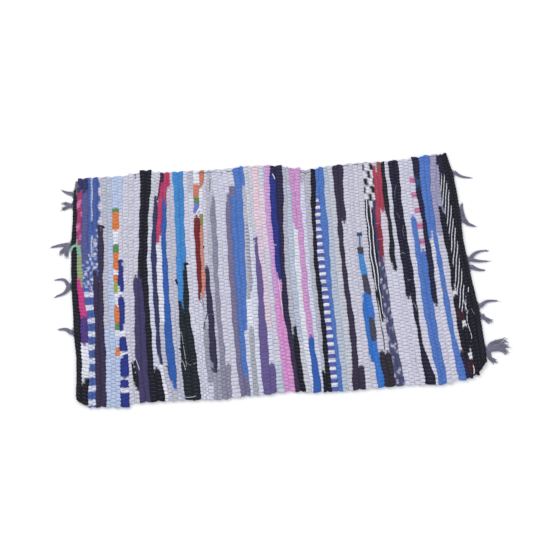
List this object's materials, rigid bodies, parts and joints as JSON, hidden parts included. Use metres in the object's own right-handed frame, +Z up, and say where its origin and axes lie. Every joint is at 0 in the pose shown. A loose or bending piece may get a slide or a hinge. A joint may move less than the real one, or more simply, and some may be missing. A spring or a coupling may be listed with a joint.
{
  "type": "rag rug",
  "caption": "Flat hand-woven rag rug with multicoloured cross stripes, dark ends and knotted warp tassels on both short ends.",
  "frame": {"origin": "on the flat underside, in the middle of the space that the rug and its tassels cover", "axes": "+X along the warp, the rug's length; +Y along the rags, its width; +Z up from the floor"},
  "size_m": [0.9176, 0.5151, 0.007],
  "materials": {
    "rag_cotton": "matt woven strips of used cotton cloth in many colours, pale lilac grey on the whole",
    "warp_yarn": "matt plied cotton yarn, grey mauve"
  },
  "bodies": {
    "root": {"rag_rug": "rag_cotton", "tassel_left_1": "warp_yarn", "tassel_left_2": "warp_yarn", "tassel_left_3": "warp_yarn", "tassel_left_4": "warp_yarn", "tassel_left_5": "warp_yarn", "tassel_right_1": "warp_yarn", "tassel_right_2": "warp_yarn", "tassel_right_3": "warp_yarn", "tassel_right_4": "warp_yarn", "tassel_right_5": "warp_yarn", "tassel_right_6": "warp_yarn", "tassel_right_7": "warp_yarn"}
  },
  "joints": []
}
